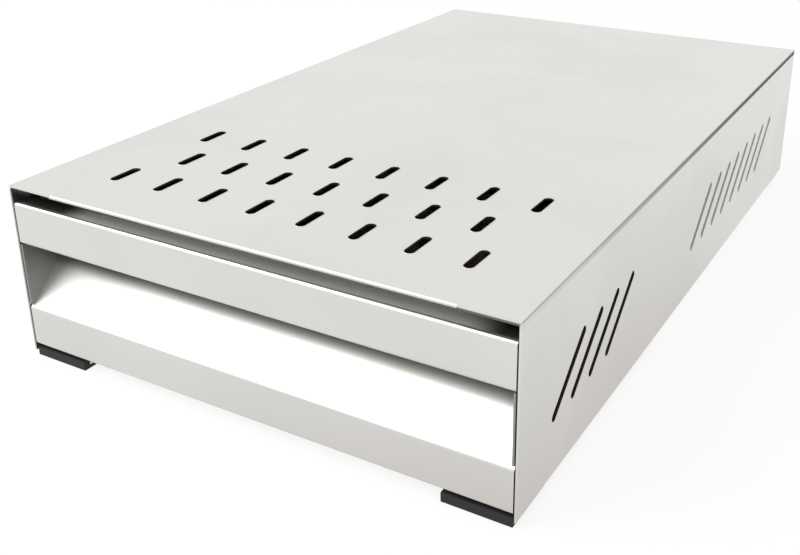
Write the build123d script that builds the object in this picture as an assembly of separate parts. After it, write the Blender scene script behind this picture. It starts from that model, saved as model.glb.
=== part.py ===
from build123d import *

import math
import os

# Electric smoke box: a low stainless case with a wood chip drawer in front and an electrics bay behind.
# Millimetres, +Z up. The origin is on the ground under the middle of the case. The drawer opens towards -Y.
# Depths are counted back from the front plane of the case, heights from the ground.

# Case
case_width = 325.0
case_depth = 530.0
case_height = 108.0  # without the feet
sheet = 1.2  # every folded steel sheet
inner_bend = 0.8  # inside radius of a fold
foot_height = 3.0
foot_width = 39.0
foot_length = 36.0
foot_side_gap = 1.0  # foot from the inside of the wall
foot_lip = 3.2  # thickness of the lip that covers the end of the wall's flange
foot_lip_top = 5.5
foot_end_gap = 0.5  # lip from the front and rear edges of the case
rivet_inset = 24.0  # foot rivet from the front and rear edges
bottom_flange = 42.0
top_flange = 18.0
top_flange_setback = 18.0
hem_side_gap = 32.5  # end of the hem from the side of the case
hem_depth = 30.0
base_setback = 16.0
base_side_gap = 1.0
panel_recess = 5.0  # rear panel behind the rear edges of the walls
fold_depth = 12.0  # flanges of the rear panel and the partition
flange_gap = 1.3
panel_screw_x = 40.0  # inner screws from the middle
panel_screw_gap = 20.5  # outer screws from the flange of the wall
panel_screw_inset = 7.0

# Slots
top_slot_length = 22.0
top_slot_width = 6.0
top_slot_pitch = 33.3
top_slot_first = 45.5
top_slot_row_pitch = 38.5
top_slot_margin = 40.0  # slot centre from the side of the case, at least
top_slot_rows = (0, 1, 0)  # slots fewer than in the widest row
side_slot_length = 51.5
side_slot_width = 5.3
side_slot_angle = 41.8
side_slot_pitch = 23.5
side_slot_height = 51.25  # slot centres above the underside of the case
front_slot_start = 57.5
front_slot_count = 4
rear_slot_start = 280.0
rear_slot_margin = 83.0  # last slot centre from the rear edge, at least

# Drawer
drawer_side_gap = 0.8
drawer_lift = 4.5  # drawer front above the underside of the case
strip_height = 25.0
bar_height = 26.0
bar_drop = 10.5  # pull bar under the top of the case
bar_depth = 13.0
recess_overlap = 3.0  # sloped wall of the recess ends this far above the bar's lower edge
front_flange = 14.0
joint_gap = 0.3
cheek_gap = 0.05
tray_side_gap = 15.3  # tray wall to case wall, where the runner is
tray_rear_gap = 14.0  # tray to partition
tray_floor_height = 24.0
tray_lip = 14.0  # ledge round the open floor, which carries the pan
tray_rim_drop = 20.0  # tray flange under the top of the pull bar
tray_wing = 12.6
lug_reach = 6.0
lug_thickness = 3.0
drawer_travel = 130.0
pan_gap = 1.8
pan_wall = 1.0
pan_height = 38.0
pan_rim = 1.2
pan_corner = 8.0
pan_grip_width = 30.0

# Runners
runner_leg = 13.3
runner_space = 3.2
runner_wing_gap = 0.3
stop_height = 8.0

# Heater
element_radius = 3.25
element_height = 17.4
element_leg = 35.0
element_bend = 14.0
element_edge_gap = 18.0  # heater run inside the tray's sides
element_tail = 36.0  # sheathed end behind the partition
pin_radius = 2.0
pin_length = 14.0
bracket_inset = 38.0  # bracket from the heater's end
bracket_foot = 12.0
bracket_rise = 5.1
bracket_overhang = 8.0
bracket_screw_spacing = 40.0
running_gap = 0.05
hole_gap = 0.1
gland_radius = 6.0
gland_flange_radius = 9.0
gland_flange = 3.0
gland_tail = 8.0
gland_nut_size = 17.0
gland_nut_height = 5.0

# Partition
partition_depth = 200.0
board_thickness = 12.0
board_side_gap = 11.3
shield_thickness = 1.0
shield_screw_inset = 30.0
shield_screw_low = 25.0
shield_screw_drop = 20.0  # upper screws under the top plate

# Fasteners, as shank radius, head radius, head height
screw_m4 = (2.0, 3.8, 2.2)
screw_m3 = (1.45, 2.8, 2.0)
rivet = (2.0, 3.6, 1.2)
nut_m4 = (7.0, 3.2)  # size across the flats, height
nut_m3 = (5.5, 2.4)
screw_end = 1.0  # screw past its nut
rivet_lift = 1.0  # rivet head above the ground
head_round = 0.4  # share of the head's height
recess_reach = 1.1  # shares of the head's radius
recess_width = 0.25

# Electrics
cutout_side_gap = 55.0  # cut-out from the end of the heat shield
cutout_height = 60.0
cutout_radius = 8.5
cutout_body = 10.0
cutout_plate = 1.0
cutout_ear = (4.0, 5.0)  # ear past the screw, half its height
cutout_screw_spread = 14.0
cutout_screw_length = 6.0
cutout_tab_spread = 4.5
block_spacing = 85.0  # terminal block from the partition
block_size = (48.0, 24.0, 22.0)
block_pole = 15.0
pole_radius = 2.4
pole_screw_spread = 7.0
sleeve_wall = 0.8
inlet_side_gap = 51.3  # inlet centre from the inside of the wall
inlet_height = 55.0
inlet_body = (27.4, 19.8, 23.8)
inlet_recess = (24.4, 16.8, 17.0)
inlet_flange = (50.0, 26.0, 2.2)
inlet_screw_spread = 20.0
inlet_corner = 4.0
blade = (2.0, 4.0)
blade_reach = 11.5
blade_tail = 7.0
blade_spread = 7.0
blade_offset = 2.0
switch_spacing = 50.0  # switch centre from inlet centre
switch_body = (21.8, 29.8, 20.8)
switch_bezel = (26.0, 35.0, 2.0)
switch_cavity = (17.2, 25.2, 15.0)
rocker_width = 16.4
rocker_half = 10.8
rocker_pivot_depth = 7.0
rocker_pin_radius = 1.5
rocker_socket = 1.3  # pin hole into the side of the cavity
rocker_face = (5.2, 7.6)  # face outside the pivot, in the middle and at the ends
rocker_side = 1.5
rocker_heel = 4.0
rocker_tilt = 9.0
tab = (6.3, 0.8, 8.0)
switch_tab_spread = 8.0
panel_cut_gap = 0.2
earth_side_gap = 21.3  # earth stud from the inside of the wall
earth_from_rear = 50.0
earth_stud_height = 14.0
earth_stud_flange = 0.6
lug_radius = 4.6
lug_tail = (3.0, 12.0)  # width, reach from the stud
lug_plate = 1.0
wire_radius = 1.3
wire_floor_gap = 0.3
corner_share = 0.45  # share of a wire's shorter run that the corner rounding may use

past = 1.0  # how far a cutting shape goes past what it cuts

# Worked out from the values above
front = -case_depth / 2
case_top = foot_height + case_height
roof = case_top - sheet  # underside of the top plate
inner_x = case_width / 2 - sheet
fold_radius = inner_bend + sheet / 2
base_top = foot_height + 2 * sheet
panel_outer = case_depth - panel_recess
panel_inner = panel_outer - sheet
drawer_x = inner_x - drawer_side_gap
drawer_bottom = foot_height + drawer_lift
strip_top = drawer_bottom + strip_height
bar_top = case_top - bar_drop
bar_bottom = bar_top - bar_height
slope_rise = bar_bottom + recess_overlap - strip_top
back_wall = slope_rise + sheet / 2  # depth of the middle of the drawer front's back wall
back_wall_top = bar_top - 2 * sheet
hem_x = case_width / 2 - hem_side_gap
tray_x = inner_x - tray_side_gap
tray_start = back_wall + sheet / 2
tray_end = partition_depth - tray_rear_gap
tray_rim = bar_top - tray_rim_drop
element_x = tray_x - element_edge_gap
element_front = tray_start + element_edge_gap
element_back = tray_end - element_edge_gap
element_middle = (element_front + element_back) / 2
bracket_x = element_x - bracket_inset
board_x = inner_x - board_side_gap
board_start = partition_depth + sheet
board_low, board_high = base_top + sheet + inner_bend + hole_gap, roof - sheet - inner_bend - hole_gap
shield_start = board_start + board_thickness
shield_back = shield_start + shield_thickness
cutout_x = cutout_side_gap - board_x
block_depth = partition_depth + block_spacing
block_back = block_depth + block_size[1]
inlet_x = inner_x - inlet_side_gap
switch_x = inlet_x - switch_spacing
earth_x = inner_x - earth_side_gap
earth_depth = case_depth - earth_from_rear
runner_start = tray_start + 4 * sheet
runner_height = tray_rim - runner_wing_gap - sheet / 2
foot_outer = inner_x - foot_side_gap
foot_x = foot_outer - foot_width / 2
foot_centres = [(x, d) for x in (-foot_x, foot_x) for d in (rivet_inset, case_depth - rivet_inset)]
flange_setback = foot_end_gap + foot_lip + joint_gap
block_middle = block_depth + block_size[1] / 2
block_screws_at = [(x, block_middle) for x in (-block_pole / 2, block_pole / 2)]


def both_sides(x):
    return (-x, x)


bracket_screws_at = [
    (x, element_middle + d)
    for x in both_sides(bracket_x - bracket_foot / 2)
    for d in both_sides(bracket_screw_spacing / 2)
]
panel_screws_at = [
    (x, panel_inner - panel_screw_inset)
    for reach in (panel_screw_x, case_width / 2 - bottom_flange - panel_screw_gap)
    for x in both_sides(reach)
]


def block(x, depth, z):
    """A box between two sides, two depths and two heights."""
    size = (x[1] - x[0], depth[1] - depth[0], z[1] - z[0])
    middle = ((x[0] + x[1]) / 2, front + (depth[0] + depth[1]) / 2, (z[0] + z[1]) / 2)
    return Pos(*middle) * Box(*size)


def rod(start, end, radius):
    """A round bar between two (x, depth, z) points."""
    base = Vector(start[0], front + start[1], start[2])
    along = Vector(*end) - Vector(*start)
    return Part() + Solid.make_cylinder(radius, along.length, Plane(origin=base, z_dir=along))


def upright(x, depth, low, high, radius):
    return rod((x, depth, low), (x, depth, high), radius)


def lengthwise(x, z, start, end, radius):
    return rod((x, start, z), (x, end, z), radius)


def folded_across(points, half_width):
    """A sheet folded along (depth, height) points down its middle, as wide as twice half_width."""
    profile = trace(FilletPolyline(*points, radius=fold_radius), sheet)
    plane = Plane(origin=(-half_width, front, 0), x_dir=(0, 1, 0), z_dir=(1, 0, 0))
    return extrude(plane * profile, 2 * half_width)


def folded_along(points, start, end):
    """A sheet folded along (x, height) points down its middle, running from one depth to another."""
    profile = trace(FilletPolyline(*points, radius=fold_radius), sheet)
    plane = Plane(origin=(0, front + end, 0), x_dir=(1, 0, 0), z_dir=(0, -1, 0))
    return extrude(plane * profile, end - start)


def hex_nut(base, direction, size, height, bore):
    """A nut on an (x, depth, z) point, standing along a direction."""
    plane = Plane(origin=(base[0], front + base[1], base[2]), z_dir=direction)
    profile = RegularPolygon(size / 2, 6, major_radius=False) - Circle(bore)
    return extrude(plane * profile, height)


def cross_screw(seat, direction, length, sizes):
    """A pan head screw whose shank starts at the (x, depth, z) seat and runs along a direction."""
    shank_radius, head_radius, head_height = sizes
    plane = Plane(origin=(seat[0], front + seat[1], seat[2]), z_dir=direction)
    head = Pos(0, 0, -head_height / 2) * Cylinder(head_radius, head_height)
    top_edge = head.edges().sort_by(Axis.Z)[0]
    head = fillet(top_edge, head_height * head_round)
    for turn in (0, 90):
        size = (head_radius * recess_reach, head_radius * recess_width, head_height)
        slot = Rot(0, 0, turn) * Box(*size)
        head -= Pos(0, 0, -head_height) * slot
    shank = Pos(0, 0, length / 2) * Cylinder(shank_radius, length)
    return plane.location * (head + shank)


def cut_holes(part, centres, radius):
    """Holes straight down through the floor of the case at (x, depth) centres."""
    for x, depth in centres:
        part -= upright(x, depth, 0, base_top + 4 * sheet, radius)
    return part


def mirrored(part):
    return mirror(part, about=Plane.YZ)


def wire(points):
    """An insulated wire through (x, depth, z) points, with every corner as round as its two runs allow."""
    route = [Vector(x, front + depth, z) for x, depth, z in points]
    runs = [b - a for a, b in zip(route, route[1:])]
    radii = []
    for before, after in zip(runs, runs[1:]):
        half_turn = math.radians(before.get_angle(after) / 2)
        radii.append(corner_share * min(before.length, after.length) / math.tan(half_turn))
    section = Plane(origin=route[0], z_dir=runs[0]) * Circle(wire_radius)
    return sweep(section, path=FilletPolyline(*route, radius=radii))


# Case


def top_plate():
    half = case_width / 2
    plate = block((-half, half), (0, case_depth), (roof, case_top))
    plate -= block((-hem_x, hem_x), (0, sheet), (roof, case_top))
    plate += block((-hem_x, hem_x), (sheet, hem_depth), (roof - sheet, roof))
    plate += rod((-hem_x, sheet, roof), (hem_x, sheet, roof), sheet)
    slot = extrude(SlotOverall(top_slot_length, top_slot_width, rotation=90), 2 * sheet, both=True)
    widest = int((case_width - 2 * top_slot_margin) / top_slot_pitch) + 1
    for row, fewer in enumerate(top_slot_rows):
        depth = top_slot_first + row * top_slot_row_pitch
        count = widest - fewer
        for i in range(count):
            x = (i - (count - 1) / 2) * top_slot_pitch
            plate -= Pos(x, front + depth, roof) * slot
    return plate


def side_slot_centres():
    room = case_depth - rear_slot_margin - rear_slot_start
    rear_count = int(room / side_slot_pitch) + 1
    for start, count in ((front_slot_start, front_slot_count), (rear_slot_start, rear_count)):
        for i in range(count):
            yield start + i * side_slot_pitch


def side_wall():
    """The right wall, a channel open to the inside, with slots that lean back."""
    web = case_width / 2 - sheet / 2
    low = foot_height + sheet / 2
    high = roof - sheet / 2
    points = [(case_width / 2 - bottom_flange, low), (web, low), (web, high)]
    points.append((inner_x - top_flange, high))
    wall = folded_along(points, 0, case_depth)
    wall -= block((0, inner_x), (0, top_flange_setback), (high - 2 * sheet, case_top))
    for depth in ((0, flange_setback), (case_depth - flange_setback, case_depth)):
        wall -= block((0, inner_x), depth, (0, low + sheet))
    angle = math.radians(side_slot_angle)
    for depth in side_slot_centres():
        origin = (web, front + depth, foot_height + side_slot_height)
        plane = Plane(origin=origin, x_dir=(0, math.cos(angle), math.sin(angle)), z_dir=(1, 0, 0))
        wall -= extrude(plane * SlotOverall(side_slot_length, side_slot_width), sheet, both=True)
    return cut_holes(wall, foot_centres, rivet[0] + hole_gap)


def base_plate():
    half = inner_x - base_side_gap
    plate = block((-half, half), (base_setback, panel_outer), (foot_height + sheet, base_top))
    plate = cut_holes(plate, foot_centres, rivet[0] + hole_gap)
    m4_holes = bracket_screws_at + panel_screws_at
    plate = cut_holes(plate, m4_holes, screw_m4[0] + hole_gap)
    return cut_holes(plate, block_screws_at, screw_m3[0] + hole_gap)


def panel_web(middle, way, half_width):
    """An upright sheet across the case, with flanges along the floor and the top plate."""
    low = base_top + sheet / 2
    high = roof - sheet / 2
    edge = middle + way * fold_depth
    panel = folded_across([(edge, low), (middle, low), (middle, high), (edge, high)], half_width)
    notch = (high - 2 * sheet, case_top)
    near, far = sorted((middle - 2 * way * sheet, edge + way * sheet))
    inside = inner_x - top_flange - flange_gap
    for side in (-1, 1):
        panel -= block(sorted((side * inside, side * inner_x)), (near, far), notch)
    return panel


def rear_panel():
    panel = panel_web(panel_outer - sheet / 2, -1, inner_x - base_side_gap)
    for x, body in ((inlet_x, inlet_body), (switch_x, switch_body)):
        across = body[0] / 2 + panel_cut_gap
        tall = body[1] / 2 + panel_cut_gap
        z = (inlet_height - tall, inlet_height + tall)
        panel -= block((x - across, x + across), (panel_inner - past, panel_outer + past), z)
    for x in inlet_screw_x():
        hole = screw_m3[0] + hole_gap
        panel -= lengthwise(x, inlet_height, panel_inner - past, panel_outer + past, hole)
    return cut_holes(panel, panel_screws_at, screw_m4[0] + hole_gap)


def rear_panel_screws():
    seat = foot_height + sheet
    length = 2 * sheet + nut_m4[1] + screw_end
    return [cross_screw((x, d, seat), (0, 0, 1), length, screw_m4) for x, d in panel_screws_at]


def rear_panel_nuts():
    base = base_top + sheet
    bore = screw_m4[0] + running_gap
    return [hex_nut((x, d, base), (0, 0, 1), *nut_m4, bore) for x, d in panel_screws_at]


def foot(x, depth):
    """A rubber pad under the flange, with a lip that covers the flange's end."""
    side = math.copysign(1, x)
    near = side * (foot_outer - foot_width)
    if depth < case_depth / 2:
        start = foot_end_gap
        lip = start
    else:
        start = case_depth - foot_end_gap - foot_length
        lip = case_depth - foot_end_gap - foot_lip
    across = sorted((near, side * foot_outer))
    pad = block(across, (start, start + foot_length), (0, foot_height))
    pad += block(across, (lip, lip + foot_lip), (foot_height, foot_lip_top))
    shank_radius, head_radius, head_height = rivet
    pad -= upright(x, depth, -past, rivet_lift + head_height, head_radius + 2 * hole_gap)
    return pad - upright(x, depth, 0, foot_height + past, shank_radius + hole_gap)


def foot_rivet(x, depth):
    shank_radius, head_radius, head_height = rivet
    body = upright(x, depth, rivet_lift, rivet_lift + head_height, head_radius)
    body += upright(x, depth, rivet_lift, base_top + head_height, shank_radius)
    return body + upright(x, depth, base_top, base_top + head_height, (head_radius + shank_radius) / 2)


# Smoke chamber


def shield_screw_centres():
    x = board_x - shield_screw_inset
    return [(side * x, z) for side in (-1, 1) for z in (shield_screw_low, roof - shield_screw_drop)]


def through_partition(part):
    """The holes that the glands and the shield screws need in the partition, the board and the shield."""
    start, end = partition_depth - past, shield_back + past
    for x in (-element_leg, element_leg):
        part -= lengthwise(x, element_height, start, end, gland_radius + hole_gap)
    for x, z in shield_screw_centres():
        part -= lengthwise(x, z, start, end, screw_m4[0] + hole_gap)
    return part


def partition():
    return through_partition(panel_web(partition_depth + sheet / 2, 1, inner_x - base_side_gap))


def cutout_screw_centres():
    return [cutout_x - cutout_screw_spread, cutout_x + cutout_screw_spread]


def insulation_board():
    z = (board_low, board_high)
    board = through_partition(block((-board_x, board_x), (board_start, shield_start), z))
    for x in cutout_screw_centres():
        hole = screw_m3[0] + 2 * hole_gap
        board -= lengthwise(x, cutout_height, shield_start - cutout_screw_length, shield_start + past, hole)
    return board


def heat_shield():
    z = (board_low, board_high)
    plate = through_partition(block((-board_x, board_x), (shield_start, shield_back), z))
    for x in cutout_screw_centres():
        hole = screw_m3[0] + running_gap
        plate -= lengthwise(x, cutout_height, shield_start - past, shield_back + past, hole)
    return plate


def shield_screws():
    length = shield_back - partition_depth + nut_m4[1] + screw_end
    seats = [(x, shield_back, z) for x, z in shield_screw_centres()]
    return [cross_screw(seat, (0, -1, 0), length, screw_m4) for seat in seats]


def shield_nuts():
    bore = screw_m4[0] + running_gap
    bases = [(x, partition_depth, z) for x, z in shield_screw_centres()]
    return [hex_nut(base, (0, -1, 0), *nut_m4, bore) for base in bases]


def heater_element():
    """A sheathed loop under the pan, with both ends going back through the partition."""
    end = pin_ends()[0]
    right = [(element_leg, end), (element_leg, element_back)]
    right += [(element_x, element_back), (element_x, element_front)]
    outline = [(-x, d) for x, d in right] + right[::-1]
    path = FilletPolyline(*[(x, front + d, element_height) for x, d in outline], radius=element_bend)
    start = Plane(origin=(-element_leg, front + end, element_height), z_dir=(0, -1, 0))
    return sweep(start * Circle(element_radius), path=path)


def pin_ends():
    return partition_depth + element_tail, partition_depth + element_tail + pin_length


def heater_pins():
    start, end = pin_ends()
    return [lengthwise(x, element_height, start, end, pin_radius) for x in (-element_leg, element_leg)]


def gland(x):
    start = partition_depth - gland_flange
    body = lengthwise(x, element_height, start, partition_depth, gland_flange_radius)
    body += lengthwise(x, element_height, partition_depth, shield_back + gland_tail, gland_radius)
    bore = element_radius + running_gap
    return body - lengthwise(x, element_height, start - past, shield_back + gland_tail + past, bore)


def gland_nuts():
    bases = [(x, shield_back, element_height) for x in (-element_leg, element_leg)]
    bore = gland_radius + running_gap
    return [hex_nut(base, (0, 1, 0), gland_nut_size, gland_nut_height, bore) for base in bases]


def element_bracket():
    """The right support: a foot on the floor and a web that the heater runs pass through."""
    low = base_top + sheet / 2
    web = bracket_x - sheet / 2
    points = [(bracket_x - bracket_foot, low), (web, low), (web, element_height + bracket_rise)]
    bracket = folded_along(points, element_front - bracket_overhang, element_back + bracket_overhang)
    bore = element_radius + running_gap
    for depth in (element_front, element_back):
        ends = ((web - sheet - past, depth, element_height), (web + sheet + past, depth, element_height))
        bracket -= rod(*ends, bore)
    return cut_holes(bracket, bracket_screws_at, screw_m4[0] + hole_gap)


def bracket_screws():
    seat = foot_height + sheet
    length = 3 * sheet + screw_end
    return [cross_screw((x, d, seat), (0, 0, 1), length, screw_m4) for x, d in bracket_screws_at]


def drawer_runner():
    """The right runner: a channel for the tray's wing, turned down at its front end as a stop."""
    web = inner_x - sheet / 2
    upper = runner_height + runner_space + sheet
    tip = inner_x - runner_leg
    end = partition_depth - joint_gap
    lower = runner_height - sheet
    runner = folded_along([(tip, lower), (web, lower), (web, upper), (tip, upper)], runner_start, end)
    under = lower - sheet / 2
    depth = (runner_start, runner_start + sheet)
    return runner + block((tip - sheet, web - fold_radius), depth, (under - stop_height, under))


# Electrics


def thermal_cutout():
    base = shield_back
    seat = base + cutout_plate
    body = lengthwise(cutout_x, cutout_height, base, seat + cutout_body, cutout_radius)
    ear, half = cutout_screw_spread + cutout_ear[0], cutout_ear[1]
    z = (cutout_height - half, cutout_height + half)
    body += block((cutout_x - ear, cutout_x + ear), (base, seat), z)
    for x in cutout_screw_centres():
        body -= lengthwise(x, cutout_height, base - past, seat + past, screw_m3[0] + hole_gap)
    return body


def flat_tab(x, start, end, z):
    """A push-on terminal, flat across the case."""
    return block((x - tab[0] / 2, x + tab[0] / 2), (start, end), (z - tab[1] / 2, z + tab[1] / 2))


def cutout_tabs():
    start = shield_back + cutout_plate + cutout_body
    end = start + tab[2]
    return [flat_tab(cutout_x + x, start, end, cutout_height) for x in both_sides(cutout_tab_spread)]


def cutout_screws():
    seats = [(x, shield_back + cutout_plate, cutout_height) for x in cutout_screw_centres()]
    return [cross_screw(seat, (0, -1, 0), cutout_screw_length, screw_m3) for seat in seats]


def poles():
    return [-block_pole, 0, block_pole]


def terminal_screw_centres():
    return [(x, block_middle + d) for x in poles() for d in both_sides(pole_screw_spread)]


def terminal_block():
    half, top = block_size[0] / 2, base_top + block_size[2]
    body = block((-half, half), (block_depth, block_back), (base_top, top))
    for x in poles():
        body -= lengthwise(x, element_height, block_depth - past, block_back + past, pole_radius)
    for x, depth in terminal_screw_centres():
        body -= upright(x, depth, element_height, top + past, screw_m3[1] + hole_gap)
    for x, depth in block_screws_at:
        body -= upright(x, depth, base_top - past, top + past, screw_m3[0] + hole_gap)
    return body


def terminal_sleeves():
    """Brass tubes that the bared wires go into, one in each pole."""
    bore = pole_radius - sleeve_wall
    tubes = []
    for x in poles():
        tube = lengthwise(x, element_height, block_depth, block_back, pole_radius)
        tube -= lengthwise(x, element_height, block_depth - past, block_back + past, bore)
        tubes.append(tube)
    return tubes


def terminal_screws():
    length = screw_m3[2]
    seat = element_height + pole_radius + length
    return [cross_screw((x, d, seat), (0, 0, -1), length, screw_m3) for x, d in terminal_screw_centres()]


def block_screws():
    seat = base_top + block_size[2]
    length = block_size[2] + 2 * sheet + screw_end
    return [cross_screw((x, d, seat), (0, 0, -1), length, screw_m3) for x, d in block_screws_at]


def inlet_blade_places():
    low, high = inlet_height - blade_offset, inlet_height + blade_offset
    return [(inlet_x - blade_spread, low), (inlet_x + blade_spread, low), (inlet_x, high)]


def inlet_blades():
    floor = panel_outer + inlet_flange[2] - inlet_recess[2]
    depth = (panel_outer - inlet_body[2] - blade_tail, floor + blade_reach)
    wide, tall = blade[0] / 2, blade[1] / 2
    return [block((x - wide, x + wide), depth, (z - tall, z + tall)) for x, z in inlet_blade_places()]


def power_inlet():
    """A three-pin appliance socket, its mouth outwards and its two lower corners cut off."""
    wide, tall, long = inlet_body
    outside = panel_outer + inlet_flange[2]
    body = block((inlet_x - wide / 2, inlet_x + wide / 2), (panel_outer - long, panel_outer),
                 (inlet_height - tall / 2, inlet_height + tall / 2))
    across, high = inlet_flange[0] / 2, inlet_flange[1] / 2
    body += block((inlet_x - across, inlet_x + across), (panel_outer, outside),
                  (inlet_height - high, inlet_height + high))
    mouth_x, mouth_z, deep = inlet_recess[0] / 2, inlet_recess[1] / 2, inlet_recess[2]
    recess = block((inlet_x - mouth_x, inlet_x + mouth_x), (outside - deep, outside + past),
                   (inlet_height - mouth_z, inlet_height + mouth_z))
    lower = recess.edges().filter_by(Axis.Y).sort_by(Axis.Z)[:2]
    body -= chamfer(lower, inlet_corner)
    for pin in inlet_blades():
        body -= pin
    for x in inlet_screw_x():
        body -= lengthwise(x, inlet_height, panel_outer - past, outside + past, screw_m3[0] + hole_gap)
    return body


def inlet_screw_x():
    return [inlet_x - inlet_screw_spread, inlet_x + inlet_screw_spread]


def inlet_screws():
    seat = panel_outer + inlet_flange[2]
    length = inlet_flange[2] + sheet + nut_m3[1] + screw_end
    return [cross_screw((x, seat, inlet_height), (0, -1, 0), length, screw_m3) for x in inlet_screw_x()]


def inlet_nuts():
    bore = screw_m3[0] + running_gap
    return [hex_nut((x, panel_inner, inlet_height), (0, -1, 0), *nut_m3, bore) for x in inlet_screw_x()]


def rocker_pivot():
    return panel_outer + switch_bezel[2] - rocker_pivot_depth


def switch_housing():
    wide, tall, long = switch_body
    outside = panel_outer + switch_bezel[2]
    body = block((switch_x - wide / 2, switch_x + wide / 2), (panel_outer - long, panel_outer),
                 (inlet_height - tall / 2, inlet_height + tall / 2))
    across, high = switch_bezel[0] / 2, switch_bezel[1] / 2
    body += block((switch_x - across, switch_x + across), (panel_outer, outside),
                  (inlet_height - high, inlet_height + high))
    open_x, open_z, deep = switch_cavity[0] / 2, switch_cavity[1] / 2, switch_cavity[2]
    body -= block((switch_x - open_x, switch_x + open_x), (outside - deep, outside + past),
                  (inlet_height - open_z, inlet_height + open_z))
    reach = open_x + rocker_socket
    depth = rocker_pivot()
    axle = ((switch_x - reach, depth, inlet_height), (switch_x + reach, depth, inlet_height))
    return body - rod(*axle, rocker_pin_radius + running_gap)


def switch_rocker():
    """The rocker at rest in its off position, tilted about its own pins."""
    half, heel = rocker_half, rocker_heel
    dip, rise = rocker_face
    outline = [(rise, -half), (dip, 0), (rise, half), (rocker_side, half)]
    outline += [(-heel, heel), (-heel, -heel), (rocker_side, -half)]
    depth = rocker_pivot()
    corner = (switch_x - rocker_width / 2, front + depth, inlet_height)
    plane = Plane(origin=corner, x_dir=(0, 1, 0), z_dir=(1, 0, 0))
    body = extrude(plane * make_face(Polyline(*outline, close=True)), rocker_width)
    reach = switch_cavity[0] / 2 + rocker_socket - hole_gap
    pins = ((switch_x - reach, depth, inlet_height), (switch_x + reach, depth, inlet_height))
    body += rod(*pins, rocker_pin_radius)
    pivot = Axis((switch_x, front + depth, inlet_height), (1, 0, 0))
    return body.rotate(pivot, -rocker_tilt)


def switch_tab_ends():
    return panel_outer - switch_body[2] - tab[2], panel_outer - switch_body[2]


def switch_tabs():
    start, end = switch_tab_ends()
    return [flat_tab(switch_x, start, end, inlet_height + z) for z in both_sides(switch_tab_spread)]


def earth_stud():
    post = upright(earth_x, earth_depth, base_top, base_top + earth_stud_height, screw_m4[0])
    flange = upright(earth_x, earth_depth, base_top, base_top + earth_stud_flange, lug_radius)
    return post + flange


def earth_lug():
    """A ring terminal on the stud, with a tail towards the front for its wire."""
    low = base_top + earth_stud_flange
    high = low + lug_plate
    ring = upright(earth_x, earth_depth, low, high, lug_radius)
    half, reach = lug_tail[0] / 2, lug_tail[1]
    ring += block((earth_x - half, earth_x + half), (earth_depth - reach, earth_depth), (low, high))
    return ring - upright(earth_x, earth_depth, low - past, high + past, screw_m4[0] + running_gap)


def earth_nut():
    base = (earth_x, earth_depth, base_top + earth_stud_flange + lug_plate)
    return hex_nut(base, (0, 0, 1), *nut_m4, screw_m4[0] + running_gap)


def wires():
    """Every wire by name. Heights near the floor keep the wire just above the base plate."""
    low = base_top + wire_radius + wire_floor_gap
    pin = pin_ends()[1]
    middle = (pin + block_depth) / 2
    line_pin, neutral_pin, earth_pin = inlet_blade_places()
    inlet_back = panel_outer - inlet_body[2] - blade_tail
    switch_back = switch_tab_ends()[0]
    upper, lower = inlet_height + switch_tab_spread, inlet_height - switch_tab_spread
    tab_end = shield_back + cutout_plate + cutout_body + tab[2]
    tail = earth_depth - lug_tail[1]
    near, far = switch_x, inlet_x
    bay = switch_back - block_back
    entry, exit = cutout_x - cutout_tab_spread, cutout_x + cutout_tab_spread
    leads = {
        side: [(x, pin, element_height), (x, middle - 3.5, element_height),
               (pole, middle + 3.5, element_height), (pole, block_depth, element_height)]
        for side, x, pole in (("left", -element_leg, -block_pole), ("right", element_leg, block_pole))
    }
    return {
        "heater_lead_left": leads["left"],
        "heater_lead_right": leads["right"],
        "wire_live_supply": [
            (line_pin[0], inlet_back, line_pin[1]), (line_pin[0], inlet_back - 15, line_pin[1]),
            (far - 20, inlet_back - 27, upper - 7), (far - 38, inlet_back - 27, upper - 1),
            (near, switch_back - 17, upper), (near, switch_back, upper)],
        "wire_live_switched": [
            (near, switch_back, lower), (near, switch_back - 17, lower),
            (near - 9, switch_back - 34, lower - 9), (near - 42, block_back + 0.67 * bay, low + 3),
            (near - 95, block_back + 0.46 * bay, low), (cutout_x + 8, block_back + 0.18 * bay, low),
            (cutout_x - 6, block_back - 24, low + 9), (entry, tab_end + 15, cutout_height),
            (entry, tab_end, cutout_height)],
        "wire_cutout_return": [
            (exit, tab_end, cutout_height), (exit, tab_end + 15, cutout_height),
            (cutout_x + 12, tab_end + 36, cutout_height - 24), (cutout_x + 30, block_back + 2, low + 6),
            (-38, block_back + 18, low + 1), (-block_pole, block_back + 19, element_height),
            (-block_pole, block_back, element_height)],
        "wire_neutral_supply": [
            (neutral_pin[0], inlet_back, neutral_pin[1]), (neutral_pin[0], inlet_back - 13, neutral_pin[1]),
            (far + 2, inlet_back - 28, inlet_height - 14), (far - 16, block_back + 0.68 * bay, low + 7),
            (far - 48, block_back + 0.43 * bay, low), (40, block_back + 0.18 * bay, low + 2),
            (block_pole, block_back + 19, element_height), (block_pole, block_back, element_height)],
        "wire_earth": [
            (earth_pin[0], inlet_back, earth_pin[1]), (earth_pin[0], inlet_back - 12, earth_pin[1]),
            (far + 9, inlet_back - 22, earth_pin[1] - 3), (far + 20, tail - 5, earth_pin[1] - 11),
            (far + 28, tail - 12, earth_pin[1] - 23), (earth_x, tail - 19, earth_pin[1] - 34),
            (earth_x, tail - 17, low + 6), (earth_x, tail - 9, low), (earth_x, tail, low)],
    }


# Drawer


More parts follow.
